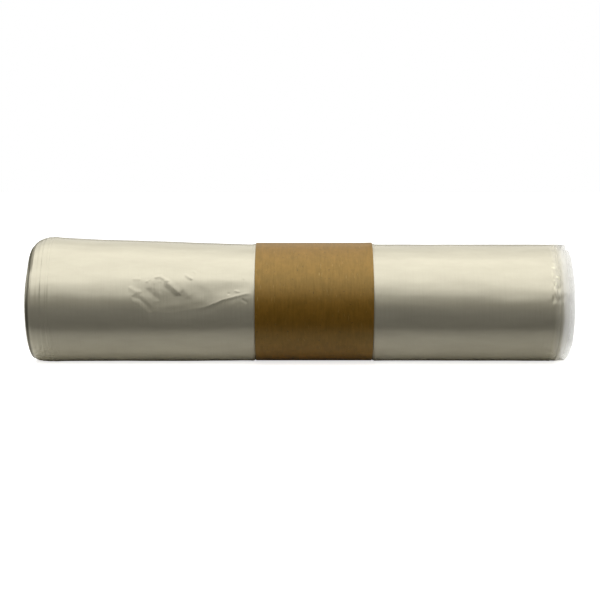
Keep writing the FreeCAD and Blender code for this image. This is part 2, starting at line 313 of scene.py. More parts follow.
# The paper band: faces round it and along it, the glue in its lap, how far the free edge of the lap lifts,
# and how far the edge towards the loose-edge end gapes.
BAND_STEPS, BAND_COLUMNS = 330, 44
GLUE = 0.05 * MM
LAP_LIFT = 0.25 * MM
GAPE = 0.9 * MM

# The floor's side, in metres.
FLOOR_SIZE = 6.0


# Helpers for meshes.


def select_none():
    """Leaves edit mode and deselects every object."""
    if bpy.context.object and bpy.context.object.mode != "OBJECT":
        bpy.ops.object.mode_set(mode="OBJECT")
    bpy.ops.object.select_all(action="DESELECT")


def start_from_vertex(name, place):
    """A new mesh object of one selected vertex, left in edit mode."""
    select_none()
    bpy.ops.mesh.primitive_plane_add(size=MM, location=(0, 0, 0))
    piece = bpy.context.object
    piece.name = piece.data.name = name
    bpy.ops.object.mode_set(mode="EDIT")
    bpy.ops.mesh.select_mode(type="VERT")
    bpy.ops.mesh.select_all(action="SELECT")
    bpy.ops.mesh.merge(type="CENTER")
    bpy.ops.transform.translate(value=place)
    return piece


def extrude_line(points):
    """Extrudes the selected vertex along a line of points."""
    for before, after in zip(points, points[1:]):
        step = Vector(after) - Vector(before)
        bpy.ops.mesh.extrude_region_move(TRANSFORM_OT_translate={"value": step})


def spin_round(steps, height):
    """Spins the selected line once round the roll's axis and closes the seam."""
    bpy.ops.mesh.select_all(action="SELECT")
    bpy.ops.mesh.spin(steps=steps, angle=math.tau, center=(0, 0, height), axis=(1, 0, 0))
    bpy.ops.mesh.select_all(action="SELECT")
    bpy.ops.mesh.remove_doubles(threshold=0.01 * MM)
    bpy.ops.mesh.normals_make_consistent(inside=False)
    bpy.ops.object.mode_set(mode="OBJECT")


def read_points(piece):
    """The piece's vertices as rows of x, y, z."""
    points = np.empty(len(piece.data.vertices) * 3)
    piece.data.vertices.foreach_get("co", points)
    return points.reshape(-1, 3)


def write_points(piece, points):
    """Puts rows of x, y, z back into the piece."""
    piece.data.vertices.foreach_set("co", np.ascontiguousarray(points).ravel())
    piece.data.update()


def apply_modifier(piece, kind, **settings):
    """Adds a modifier with its settings and applies it."""
    select_none()
    bpy.context.view_layer.objects.active = piece
    piece.select_set(True)
    modifier = piece.modifiers.new(kind.title(), kind)
    for key, value in settings.items():
        setattr(modifier, key, value)
    bpy.ops.object.modifier_apply(modifier=modifier.name)


def shade_smooth(piece, angle):
    """Smooth shading, with edges sharper than the angle kept."""
    select_none()
    bpy.context.view_layer.objects.active = piece
    piece.select_set(True)
    bpy.ops.object.shade_smooth_by_angle(angle=angle)


def rough(points, scale, seed):
    """Smooth noise between -1 and 1 at each point. scale holds the size of its waves along x, y and z."""
    shift = Vector((seed * 7.3, seed * 3.1, seed * 5.7))
    return np.array([noise.noise(Vector(point) + shift) for point in points / np.array(scale)])


def around(value, centre, spread):
    """1 at the centre, falling as a bell to both sides."""
    return np.exp(-(((value - centre) / spread) ** 2))


def ease(value, low, high):
    """0 below low, 1 above high, and a smooth rise between them."""
    share = np.clip((value - low) / (high - low), 0.0, 1.0)
    return share * share * (3.0 - 2.0 * share)


# The wound film. along is in metres from the folded end. angle is from level on the front, up over the top.


def film_radius(sizes, along):
    """Radius of the wound film before it settles on the floor."""
    along = np.asarray(along, dtype=float)
    places = [sizes.shoulder_length, sizes.lip_reach, BAND_LOW.x - FOLD_END - 2 * MM]
    radii = [sizes.flare_radius, sizes.lip_radius, sizes.plain_radius]
    spread = np.linspace(-5 * MM, 5 * MM, 11)
    flare = np.mean([np.interp(along + shift, places, radii) for shift in spread], axis=0)
    inset = np.clip(1.0 - along / sizes.shoulder_length, 0.0, 1.0)
    return flare - sizes.shoulder_drop * (1.0 - np.sqrt(1.0 - inset * inset))


def settled_radius(sizes, along, angle):
    """Distance of the surface from the hollow's axis. The flare stands mostly over the top."""
    wide = film_radius(sizes, np.maximum(along, sizes.shoulder_length))
    drop = wide - film_radius(sizes, along)
    # The flare shows a little at the front, and nearly twice over on top, because the floor is under it.
    front = sizes.plain_radius + 0.15 * (wide - sizes.plain_radius)
    top = 2 * wide - sizes.plain_radius - 0.4 * MM * ease(wide, sizes.plain_radius, sizes.flare_radius)
    # The shoulder rounds off most on top and least at the front.
    up = np.sin(angle)
    sink = 0.2 + np.where(up > 0, 1.8, 0.5) * up * up
    return front + (top - front) * ease(up, 0.6, 1.0) - drop * sink


def band_hold(along, reach):
    """1 under the paper band and 0 away from it, with a slope as long as the reach on each side."""
    start, end = BAND_LOW.x - FOLD_END, BAND_HIGH.x - FOLD_END
    return ease(along, start - reach, start) - ease(along, end, end + reach)


def fold_edges(sizes, along, angle):
    """Steps at the turns' fold edges, which stand one behind another on the shoulder."""
    step = np.zeros(len(along))
    for count, (place, strength) in enumerate(FOLD_EDGES):
        wander = 0.12 * np.sin(angle * (1 + count % 3) + count) + 0.06 * np.sin(5 * angle + 2 * count)
        edge = (place + wander) * MM
        rise = ease(along, edge - 0.3 * MM, edge + 0.3 * MM)
        fall = ease(along, edge, edge + 2.5 * MM)
        step += strength * sizes.turn_step * (rise - fall)
    return step


def crease_heights(place, arc):
    """Heights of the creases of the crumpled ply, in millimetres, at places along and round the film."""
    height = np.zeros(len(place))
    for points, width, rise in CREASES:
        points = [(x, level * ARC) for x, level in points]
        nearest = np.full(len(place), 1e9)
        for (ax, ay), (bx, by) in zip(points, points[1:]):
            share = ((place - ax) * (bx - ax) + (arc - ay) * (by - ay)) / ((bx - ax) ** 2 + (by - ay) ** 2)
            share = np.clip(share, 0.0, 1.0)
            near_x, near_y = ax + share * (bx - ax), ay + share * (by - ay)
            away = np.hypot(place - near_x, arc - near_y)
            # A crease runs out over its last millimetres.
            to_ends = [np.hypot(near_x - x, near_y - y) for x, y in (points[0], points[-1])]
            fade = ease(np.minimum(*to_ends), -1.0, 2.5)
            nearest = np.minimum(nearest, away + 3.0 * (1.0 - fade))
        height += CREASE_RELIEF * rise * (1.0 - ease(nearest, -0.25 * width, 1.1 * width + 0.2))
    return height


def crumpled_ply(along, angle):
    """The outer ply where it lies loose beside the band: a dent with a lifted lower rim, and its creases."""
    place, level = along / MM, np.degrees(angle)
    arc = level * ARC
    upper = np.interp(place, *zip(*DENT_UPPER))
    lower = np.interp(place, *zip(*DENT_LOWER))

    # The dent is deepest two thirds of the way down from its upper edge.
    down = (upper - level) / (upper - lower)
    along_share = ease(place, 57, 70) * (1.0 - ease(place, 117, 126))
    depth = DENT_DEPTH * np.clip((upper - lower) / 36.0, 0.3, 1.0)
    height = -depth * ease(down, 0.0, 0.65) * (1.0 - ease(down, 0.65, 1.5)) * along_share

    # Its lower edge stands up as a rim, which is higher and crisper towards the band.
    above = (level - lower) * ARC
    crisp = ease(place, 88, 104)
    inner_slope = 0.6 * np.exp(-above / 0.9) + 0.4 * np.exp(-above / 3.0)
    rim = np.where(above > 0, inner_slope, around(above, 0, 2.2 - 1.1 * crisp))
    height += (0.07 + 0.15 * crisp) * rim * ease(place, 57, 62) * (1.0 - ease(place, 119, 126))

    # Creases cross it, and small blotches lie between them.
    height += crease_heights(place, arc)
    blotches = rough(np.stack([place, arc, arc * 0], axis=1), (7, 4, 1), 8)
    height += 0.09 * blotches * along_share * ease(down, 0.0, 0.3) * (1.0 - ease(down, 0.8, 1.0))
    return height * MM


def crumpled_ends(along, angle, rim):
    """Fine crumples of the film near both ends."""
    level = np.degrees(angle)
    length = RIM - FOLD_END
    specks = rough(rim, (1.7 * MM, 1.7 * MM, 1.7 * MM), 3)
    puckers = rough(rim, (1.5 * MM, 4 * MM, 4 * MM), 4)
    # Low on the shoulder of the folded end.
    fold_low = ease(along, 2 * MM, 5 * MM) * (1.0 - ease(along, 12 * MM, 18 * MM))
    fold_low = fold_low * ease(-level, 36, 46) * (1.0 - ease(-level, 72, 85))
    # Near the loose edges: all round, above the middle, and low in the corner.
    loose = ease(along, length - 16 * MM, length - 9 * MM)
    glints = loose * ease(level, 0, 12) * (1.0 - ease(level, 44, 58))
    corner = loose * ease(-level, 30, 45) * (1.0 - ease(-level, 75, 88))
    return MM * (0.34 * specks * (fold_low + corner) + 0.42 * puckers * glints + 0.06 * puckers * loose)


def film_lift(sizes, along, angle, rim):
    """How far the film stands off its settled form, at points given also as places on its rim."""
    level = np.degrees(angle)
    free = 1.0 - band_hold(along, 3 * MM)
    waves = sum(height * rough(rim / MM, lengths, seed) for height, lengths, seed in FILM_WAVES)
    lift = waves * MM * free * ease(along, 0, 4 * MM)
    lift += fold_edges(sizes, along, angle)
    lift += crumpled_ply(along, angle) * free
    lift += crumpled_ends(along, angle, rim)
    # The loose turns sag low on the front, more towards the loose-edge end.
    sag = ease(32 - level, 0, 44) * (1.0 - ease(-level, 12, 80))
    lift += sizes.sag * ease(along, 190 * MM, 292 * MM) * sag
    # A low ridge runs along the front on both sides of the band, and fades towards the loose-edge end.
    ridge = around(level, 16, 8) * (1.0 - ease(along, 205 * MM, 275 * MM))
    lift += RIDGE * ridge * free * ease(along, 112 * MM, 126 * MM)
    # The film swells on both sides of the band, and is pressed in under it.
    beside = band_hold(along, 4.5 * MM) - band_hold(along, 1 * MM)
    lift += SWELLING * beside - PRESSED * band_hold(along, 0.8 * MM)
    # The outermost bag ends in a step on the back.
    tail = math.pi - sizes.tail_angle + 0.012 * rough(rim, (30 * MM, 1, 1), 6)
    past = np.mod(angle - tail, math.tau)
    lift += sizes.turn_step * ease(math.radians(80) - past, 0, math.radians(80)) * free
    return lift


def ring_places():
    """Places of the rings of faces along the side: close where the film has detail, and at each fold edge."""
    length = INNER_END - FOLD_END
    start, end = BAND_LOW.x - FOLD_END, BAND_HIGH.x - FOLD_END
    # Each span: from, to, and number of rings.
    spans = [
        (0.0, 1.2 * MM, 6),
        (1.2 * MM, 15 * MM, 24),
        (15 * MM, 54 * MM, 18),
        (54 * MM, start - 4 * MM, 50),
        (start - 4 * MM, start + 1 * MM, 10),
        (start + 1 * MM, end - 1 * MM, 6),
        (end - 1 * MM, end + 5 * MM, 12),
        (end + 5 * MM, length - 12 * MM, 32),
        (length - 12 * MM, length - 1 * MM, 14),
        (length - 1 * MM, length, 4),
    ]
    places = [0.0]
    for first, last, count in spans:
        places += list(np.linspace(first, last, count + 1)[1:])
    for place, _ in FOLD_EDGES:
        places += [(place + shift) * MM for shift in (-0.33, 0.02, 0.37)]
    return np.array(sorted(places))


def refine(piece, chosen, cuts):
    """Subdivides the outer faces that the function chooses by their place along the roll and angle."""
    select_none()
    bpy.context.view_layer.objects.active = piece
    bpy.ops.object.mode_set(mode="EDIT")
    bpy.ops.mesh.select_mode(type="FACE")
    bpy.ops.mesh.select_all(action="DESELECT")
    bpy.ops.object.mode_set(mode="OBJECT")
    for polygon in piece.data.polygons:
        x, y, z = polygon.center
        angle = math.degrees(math.atan2(z - AXIS_HEIGHT, -y))
        outer = math.hypot(y, z - AXIS_HEIGHT) > 0.8 * AXIS_HEIGHT
        polygon.select = outer and chosen(x - FOLD_END, angle)
    bpy.ops.object.mode_set(mode="EDIT")
    bpy.ops.mesh.subdivide(number_cuts=cuts)
    bpy.ops.object.mode_set(mode="OBJECT")


def worth_refining(along, angle):
    """The crumpled ply, and the crumples of both ends. Here angle is in degrees."""
    patch = 54 * MM < along < 124 * MM and -10 < angle < 44
    low_shoulder = 1 * MM < along < 18 * MM and -86 < angle < -34
    loose = along > 283 * MM and -88 < angle < 55
    return patch or low_shoulder or loose


def turn_end_faces(points, radius, angle, share, sizes):
    """Presses the turns into both end faces: a spiral of seams, uneven heights and small puckers."""
    for end, sign in ((FOLD_END, 1.0), (INNER_END, -1.0)):
        on_end = (np.abs(points[:, 0] - end) < 0.01 * MM) & (share < 1)
        flat = points[on_end]
        wander = 0.25 * rough(flat, (1, 18 * MM, 18 * MM), 9)
        turn = radius[on_end] / sizes.turn_pitch - angle[on_end] / math.tau + wander
        seam = np.abs(np.mod(turn, 1.0) - 0.5) * 2.0
        # Each bundle gets a height of its own, the same in each run.
        uneven = np.mod(np.sin(np.floor(turn) * 12.9) * 43.7, 1.0)
        puckers = rough(flat, (1, 3 * MM, 3 * MM), 10)
        held = ease(share[on_end], 0.0, 0.05) * (1.0 - ease(share[on_end], 0.93, 1.0))
        depth = SEAM_DEPTH * seam**5 + UNEVEN_DEPTH * uneven + PUCKER_DEPTH * puckers
        points[on_end, 0] += sign * MM * held * depth


def build_wound_film(sizes):
    """The wound film: folded end, flare, waist, loose-edge side, and the hollow through it."""
    along = ring_places()
    hollow = HOLLOW["dims"]["r_mm"] * MM
    fold_radius = float(film_radius(sizes, 0.0))
    line = [(FOLD_END, 0, AXIS_HEIGHT + radius) for radius in np.linspace(hollow, fold_radius, END_RINGS)]
    line += [(FOLD_END + place, 0, AXIS_HEIGHT + float(film_radius(sizes, place))) for place in along[1:]]
    inward = np.linspace(sizes.plain_radius, hollow, END_RINGS)[1:]
    line += [(INNER_END, 0, AXIS_HEIGHT + radius) for radius in inward]
    outward = np.linspace(INNER_END, FOLD_END, HOLLOW_RINGS)[1:-1]
    line += [(place, 0, AXIS_HEIGHT + hollow) for place in outward]
    piece = start_from_vertex("wound_film", line[0])
    extrude_line(line + line[:1])
    spin_round(sizes.round_steps, AXIS_HEIGHT)
    refine(piece, worth_refining, 2)

    points = read_points(piece)
    x, y, z = points[:, 0], points[:, 1], points[:, 2] - AXIS_HEIGHT
    radius, angle = np.hypot(y, z), np.arctan2(z, -y)
    along = np.clip(x - FOLD_END, 0, INNER_END - FOLD_END)
    share = np.clip((radius - hollow) / (film_radius(sizes, along) - hollow), 0, 1)
    # Points that lie between two rings, a hair inside the round form, belong to the outside too.
    share[share > 0.996] = 1.0
    settled = settled_radius(sizes, along, angle)
    rim = np.stack([x, -settled * np.cos(angle), settled * np.sin(angle)], axis=1)
    outside = settled + film_lift(sizes, along, angle, rim)

    # The round edges of both ends, and the gap between the outer plies.
    length = INNER_END - FOLD_END
    back = np.clip((along - length + LOOSE_ROUND) / LOOSE_ROUND, 0, 1)
    outside -= 0.15 * MM * ease(along, length - 6 * MM, length) + 0.3 * MM * (1 - np.sqrt(1 - back * back))
    front = np.clip(1 - along / FOLD_ROUND, 0, 1)
    outside -= 0.45 * MM * (1 - np.sqrt(1 - front * front)) + 0.3 * MM * around(along, GAP_PLACE, 0.5 * MM)

    turn_end_faces(points, radius, angle, share, sizes)
    new_radius = hollow + (outside - hollow) * share
    raised = WAIST_RAISE * share * band_hold(along, 2 * MM)
    points[:, 1] = -new_radius * np.cos(angle)
    points[:, 2] = AXIS_HEIGHT + new_radius * np.sin(angle) + raised
    # The film lies flat where the floor holds it.
    points[:, 2] = np.maximum(points[:, 2], 0.0)
    write_points(piece, points)
    shade_smooth(piece, math.radians(50))
    return piece


def build_loose_plies(sizes, film):
    """The outer plies' loose edges: one crumpled ring past the inner turns, which thins by a step."""
    rim_place = RIM - FOLD_END
    start, step = rim_place - sizes.reach, rim_place - sizes.inner_short
    places = list(np.linspace(start, step - 0.1 * MM, 13))
    places += list(np.linspace(step + 0.1 * MM, rim_place, 7))
    line = [(FOLD_END + place, 0, AXIS_HEIGHT + film.plain_radius) for place in places]
    piece = start_from_vertex("loose_plies", line[0])
    extrude_line(line)
    spin_round(film.round_steps, AXIS_HEIGHT)

    points = read_points(piece)
    angle = np.arctan2(points[:, 2] - AXIS_HEIGHT, -points[:, 1])
    along = points[:, 0] - FOLD_END
    under = np.where(along < step, sizes.inner_depth, 0.0)
    settled = settled_radius(film, along, angle)
    rim = np.stack([points[:, 0], -settled * np.cos(angle), settled * np.sin(angle)], axis=1)

    # The plies fold and crinkle more towards the rim, sink in two dents, and end in a ragged edge.
    out = ease(along, rim_place - 9 * MM, rim_place)
    folds = rough(rim, (7 * MM, 4.5 * MM, 4.5 * MM), 11)
    fine = rough(rim, (3 * MM, 1.8 * MM, 1.8 * MM), 21)
    level = np.degrees(angle)
    dent = around(level, 76, 7) + 0.4 * around(level, -68, 8)
    radius = settled + film_lift(film, along, angle, rim) + 0.1 * MM
    radius += out * MM * (0.3 * folds + 0.14 * fine - 0.1 - 1.3 * dent)
    edge = rough(rim, (1, 8 * MM, 8 * MM), 31) + 0.5 * rough(rim, (1, 2.2 * MM, 2.2 * MM), 41)
    past = ease(along, rim_place - 4 * MM, rim_place)
    points[:, 0] += MM * (past * (0.3 * edge - 0.05) - out * 1.1 * dent)
    points[:, 1] = -radius * np.cos(angle)
    points[:, 2] = np.maximum(AXIS_HEIGHT + radius * np.sin(angle), sizes.wall + 0.02 * MM)
    write_points(piece, points)

    # The wall's inner side is the second half of the vertices. It moves inwards by the plies under the step.
    apply_modifier(piece, "SOLIDIFY", thickness=sizes.wall, offset=-1.0)
    points = read_points(piece)
    inside = points[len(under) :]
    share = 1.0 - under / np.hypot(inside[:, 1], inside[:, 2] - AXIS_HEIGHT)
    inside[:, 1] *= share
    inside[:, 2] = AXIS_HEIGHT + (inside[:, 2] - AXIS_HEIGHT) * share
    write_points(piece, points)
    shade_smooth(piece, math.radians(60))
    return piece


# The paper band.


def build_paper_band(sizes, film):
    """The kraft strip, wound once round the film and glued where its ends lap on the back."""
    inner = film.plain_radius + sizes.film_gap
    centre = BAND_HIGH.z - inner - sizes.thickness
    first = sizes.lap_place + sizes.lap_angle / 2
    start = (BAND_LOW.x, -inner * math.cos(first), centre + inner * math.sin(first))
    piece = start_from_vertex("kraft_band", start)
    whole = math.tau + sizes.lap_angle
    bpy.ops.mesh.spin(steps=BAND_STEPS, angle=whole, center=(0, 0, centre), axis=(1, 0, 0))
    bpy.ops.mesh.select_all(action="SELECT")
    column = (BAND_HIGH.x - BAND_LOW.x) / BAND_COLUMNS
    for _ in range(BAND_COLUMNS):
        bpy.ops.mesh.extrude_region_move(TRANSFORM_OT_translate={"value": (column, 0, 0)})
    bpy.ops.object.mode_set(mode="OBJECT")

    points = read_points(piece)
    turned = np.tile(np.linspace(0, whole, BAND_STEPS + 1), BAND_COLUMNS + 1)
    angle = first - turned
    # The end of the strip steps up over its start, and its free edge lifts a little.
    over_lap = ease(turned, math.tau - math.radians(6), math.tau - math.radians(1))
    lifted = (sizes.thickness + GLUE) * over_lap
    lifted += LAP_LIFT * ease(turned, whole - math.radians(3), whole)
    # The edge towards the loose-edge end gapes at the front.
    near_edge = ease(points[:, 0], BAND_HIGH.x - 7 * MM, BAND_HIGH.x)
    lifted += GAPE * near_edge * around(angle, -math.radians(12), math.radians(14))
    scale = 1.0 + lifted / inner
    points[:, 1] *= scale
    points[:, 2] = np.maximum(centre + (points[:, 2] - centre) * scale, 0.02 * MM)
    write_points(piece, points)
    apply_modifier(piece, "SOLIDIFY", thickness=sizes.thickness, offset=1.0)
    shade_smooth(piece, math.radians(40))
    return piece


# Materials. A Mix node with this setting mixes two colours.

COLOURS = {"data_type": "RGBA"}


def node(tree, kind, *inputs, **settings):
    """Adds a node with its settings and links: a socket of another node is linked in, and a value is set.

    inputs fill the node's sockets in order. settings are its own properties, and its sockets by name.
    """
    made = tree.nodes.new(kind)
    filled = list(enumerate(inputs))
    for key, value in settings.items():
        if hasattr(made, key):
            setattr(made, key, value)
        else:
            filled.append((key.replace("_", " "), value))
    for socket, value in filled:
        if isinstance(value, bpy.types.NodeSocket):
            tree.links.new(value, made.inputs[socket])
        else:
            made.inputs[socket].default_value = value
    return made


def new_material(name):
    """A node material with an empty tree."""
    material = bpy.data.materials.new(name)
    material.use_nodes = True
    material.node_tree.nodes.clear()
    return material, material.node_tree


def waves_of(*sizes):
    """The scale that makes a pattern's waves as long as these sizes, in millimetres."""
    return tuple(1.0 / (size * MM) for size in sizes)


def zone(tree, place, start, full, fall, end):
    """1 between two places on an axis and 0 outside, with a slope on both sides, in millimetres."""
    rise = node(tree, "ShaderNodeMapRange", place, start * MM, full * MM).outputs[0]
    drop = node(tree, "ShaderNodeMapRange", place, fall * MM, end * MM, 1.0, 0.0).outputs[0]
    return node(tree, "ShaderNodeMath", rise, drop, operation="MULTIPLY").outputs[0]


def film_material(film, plies):
    """Polyethylene film, blown and wound tight in many plies."""
    # To the eye: a pale satin body. Its plies throw light back one under another, as a dull metal does, so
    # the sheens are broad and soft, and the windings break them into streaks round the roll.
    material, tree = new_material("wound polyethylene film")
    place = node(tree, "ShaderNodeTexCoord").outputs["Object"]
    x, _, z = node(tree, "ShaderNodeSeparateXYZ", place).outputs

    # Windings. The real ones are too fine to show, so the streaks stand for bundles of them.
    streak_place = node(tree, "ShaderNodeMapping", place, Scale=waves_of(2.381, 33.33, 33.33)).outputs[0]
    streaks = node(tree, "ShaderNodeTexNoise", streak_place, Scale=1.0, Detail=4.0).outputs["Fac"]
    bump = node(tree, "ShaderNodeBump", Height=streaks, Strength=0.27, Distance=0.6 * MM).outputs[0]

    # Soft clouds of a paler and a darker tint.
    cloud_place = node(tree, "ShaderNodeMapping", place, Scale=waves_of(25, 6.667, 6.667)).outputs[0]
    clouds = node(tree, "ShaderNodeTexNoise", cloud_place, Scale=1.0, Detail=5.0, Roughness=0.6)
    air = clouds.outputs["Fac"]
    tint = node(tree, "ShaderNodeMix", **COLOURS, Factor=air, A=film.dark_film, B=film.light_film)

    # Painted shade: a dark line in the gap between the outer plies beside the folded end.
    apart = node(tree, "ShaderNodeMath", x, FOLD_END + GAP_SHADE_LINE, operation="SUBTRACT").outputs[0]
    apart = node(tree, "ShaderNodeMath", apart, operation="ABSOLUTE").outputs[0]
    gap = node(tree, "ShaderNodeMapRange", apart, 0.3 * MM, 1.1 * MM, 0.75, 0.0).outputs[0]
    tint = node(tree, "ShaderNodeMix", **COLOURS, Factor=gap, A=tint.outputs["Result"], B=srgb("5C5A4C"))

    # Film turns milky where the loose plies leave the roll.
    milky = node(tree, "ShaderNodeMapRange", x, INNER_END - 5 * MM, INNER_END - 0.5 * MM).outputs[0]
    tint = node(tree, "ShaderNodeMix", **COLOURS, Factor=milky, A=tint.outputs["Result"], B=plies.milky)

    # Painted glints: near-white, more metallic spots in the crumples of both ends, between places along the
    # roll and heights above the floor.
    fine = node(tree, "ShaderNodeTexNoise", place, Scale=waves_of(1.613)[0], Detail=2.0).outputs["Fac"]
    spark = node(tree, "ShaderNodeMapRange", fine, 0.56, 0.62).outputs[0]
    loose = (zone(tree, x, 137.5, 139.5, 142, 143), zone(tree, z, 37, 42, 53, 58))
    loose = node(tree, "ShaderNodeMath", *loose, operation="MULTIPLY").outputs[0]
    folded = (zone(tree, x, -148, -147, -137, -130), zone(tree, z, 1, 2, 8, 12))
    folded = node(tree, "ShaderNodeMath", *folded, operation="MULTIPLY").outputs[0]
    where = node(tree, "ShaderNodeMath", folded, 0.5, loose, operation="MULTIPLY_ADD").outputs[0]
    painted_glint = node(tree, "ShaderNodeMath", where, spark, operation="MULTIPLY").outputs[0]
    tint = node(tree, "ShaderNodeMix", **COLOURS, Factor=painted_glint, A=tint.outputs["Result"], B=srgb("FFFDE0"))

    # The painted glint spots are also given more metal, so they shine white.
    shine = node(tree, "ShaderNodeMapRange", painted_glint, To_Min=0.45, To_Max=0.85).outputs[0]
    dull = node(tree, "ShaderNodeMapRange", milky, To_Min=1.0, To_Max=0.25).outputs[0]
    metal = node(tree, "ShaderNodeMath", shine, dull, operation="MULTIPLY").outputs[0]
    surface = {"Base_Color": tint.outputs["Result"], "Metallic": metal, "Normal": bump}
    shader = node(tree, "ShaderNodeBsdfPrincipled", **surface, Roughness=0.24, IOR=1.4)
    node(tree, "ShaderNodeOutputMaterial", shader.outputs[0])
    return material


def loose_ply_material(plies):
    """A few plies of the same blown film, with air behind them."""
    # To the eye: milky where the plies leave the roll, see-through and a little darker towards the rim, with
    # small bright crinkles.
    material, tree = new_material("loose polyethylene plies")
    place = node(tree, "ShaderNodeTexCoord").outputs["Object"]
    x = node(tree, "ShaderNodeSeparateXYZ", place).outputs["X"]

    # The plies fade in over the wound film, and out again towards the rim.
    fade = RIM - 6 * MM
    appear = node(tree, "ShaderNodeMapRange", x, RIM - 10 * MM, RIM - 6.5 * MM, 0.0, 0.61).outputs[0]
    thin = node(tree, "ShaderNodeMapRange", x, fade, RIM, 0.61, 0.25).outputs[0]
    cover = node(tree, "ShaderNodeMath", appear, thin, operation="MINIMUM").outputs[0]
    outward = node(tree, "ShaderNodeMapRange", x, fade, RIM).outputs[0]
    tint = node(tree, "ShaderNodeMix", **COLOURS, Factor=outward, A=plies.milky, B=plies.clear)
    metal = node(tree, "ShaderNodeMapRange", outward, To_Min=0.25, To_Max=0.15).outputs[0]

    creases = node(tree, "ShaderNodeTexNoise", place, Scale=waves_of(2.381)[0], Detail=3.0).outputs["Fac"]
    bump = node(tree, "ShaderNodeBump", Height=creases, Strength=0.35, Distance=0.4 * MM).outputs[0]
    surface = {"Base_Color": tint.outputs["Result"], "Metallic": metal, "Alpha": cover, "Normal": bump}
    shader = node(tree, "ShaderNodeBsdfPrincipled", **surface, Roughness=0.26, IOR=1.51)
    node(tree, "ShaderNodeOutputMaterial", shader.outputs[0])
    return material


def kraft_material(band):
    """Unbleached kraft paper, machine glazed."""
    # To the eye: a warm brown with fibres that run round the roll, dark flecks, a few pale scuffs, and a low
    # golden glaze. Real fibres are too fine to show, so they are drawn about 1 mm wide.
    material, tree = new_material("unbleached kraft paper")
    place = node(tree, "ShaderNodeTexCoord").outputs["Object"]

    fibre_place = node(tree, "ShaderNodeMapping", place, Scale=waves_of(1.1111, 7.143, 7.143)).outputs[0]
    fibres = node(tree, "ShaderNodeTexNoise", fibre_place, Scale=1.0, Detail=5.0).outputs["Fac"]
    pulp_size = waves_of(4.545)[0]
    pulp = node(tree, "ShaderNodeTexNoise", place, Scale=pulp_size, Detail=4.0, Roughness=0.65)
    blend = node(tree, "ShaderNodeMath", fibres, pulp.outputs["Fac"], operation="ADD").outputs[0]
    spread = node(tree, "ShaderNodeMapRange", blend, 0.6, 1.4).outputs[0]
    tint = node(tree, "ShaderNodeMix", **COLOURS, Factor=spread, A=band.dark_kraft, B=band.light_kraft)

    flecks = node(tree, "ShaderNodeTexNoise", place, Scale=waves_of(1.4286)[0], Detail=1.0).outputs["Fac"]
    dark = node(tree, "ShaderNodeMapRange", flecks, 0.7, 0.78, 0.0, 0.6).outputs[0]
    tint = node(tree, "ShaderNodeMix", **COLOURS, Factor=dark, A=tint.outputs["Result"], B=srgb("4A3410"))

    scuff_place = node(tree, "ShaderNodeMapping", place, Scale=waves_of(0.7692, 4.348, 4.348)).outputs[0]
    scuffs = node(tree, "ShaderNodeTexNoise", scuff_place, Scale=1.0, Detail=1.0).outputs["Fac"]
    pale = node(tree, "ShaderNodeMapRange", scuffs, 0.7, 0.8, 0.0, 0.4).outputs[0]
    tint = node(tree, "ShaderNodeMix", **COLOURS, Factor=pale, A=tint.outputs["Result"], B=srgb("C9A766"))

    bump = node(tree, "ShaderNodeBump", Height=blend, Strength=0.2, Distance=0.3 * MM).outputs[0]
    glaze = {"Roughness": 0.36, "Metallic": 0.1, "IOR": 1.9, "Specular_Tint": srgb("FFEFB6")}
    surface = {"Base_Color": tint.outputs["Result"], "Normal": bump}
    shader = node(tree, "ShaderNodeBsdfPrincipled", **surface, **glaze)
    node(tree, "ShaderNodeOutputMaterial", shader.outputs[0])
    return material


# The stage.


def floor_material():
    """A studio floor, painted matt and pale."""
    # To the eye: plain white, with the roll's shadow. The roll gets light from a pale strip under and beside
    # it, and little from the floor further out.
    material, tree = new_material("pale studio floor")
    seen = node(tree, "ShaderNodeLightPath").outputs["Is Camera Ray"]
    place = node(tree, "ShaderNodeTexCoord").outputs["Object"]
    y = node(tree, "ShaderNodeSeparateXYZ", place).outputs["Y"]
    away = node(tree, "ShaderNodeMath", y, operation="ABSOLUTE").outputs[0]
    strip = node(tree, "ShaderNodeMapRange", away, 20 * MM, 55 * MM, 0.95, 0.03).outputs[0]
    lit = node(tree, "ShaderNodeBsdfDiffuse", strip).outputs[0]

    # To the camera it is white paint, with a glow that is stronger in the shadow and far away.
    white = node(tree, "ShaderNodeBsdfDiffuse", srgb("FFFFFF")).outputs[0]
    close = node(tree, "ShaderNodeMapRange", away, 20 * MM, 80 * MM, 0.7, 0.12).outputs[0]
    span = node(tree, "ShaderNodeVectorMath", place, operation="LENGTH").outputs["Value"]
    far = node(tree, "ShaderNodeMapRange", span, 0.1, 2.2, 0.0, 1.0).outputs[0]
    fill = node(tree, "ShaderNodeMath", close, far, operation="ADD").outputs[0]
    glow = node(tree, "ShaderNodeEmission", srgb("FFFFFF"), fill).outputs[0]
    shown = node(tree, "ShaderNodeAddShader", white, glow).outputs[0]
    both = node(tree, "ShaderNodeMixShader", seen, lit, shown).outputs[0]
    node(tree, "ShaderNodeOutputMaterial", both)
    return material


def add_soft_box(name, place, length, width, power):
    """A soft box over the roll, facing straight down."""
    data = bpy.data.lights.new(name, "AREA")
    data.shape = "RECTANGLE"
    data.size, data.size_y = length, width
    data.energy = power
    lamp = bpy.data.objects.new(name, data)
    lamp.location = place
    bpy.context.collection.objects.link(lamp)


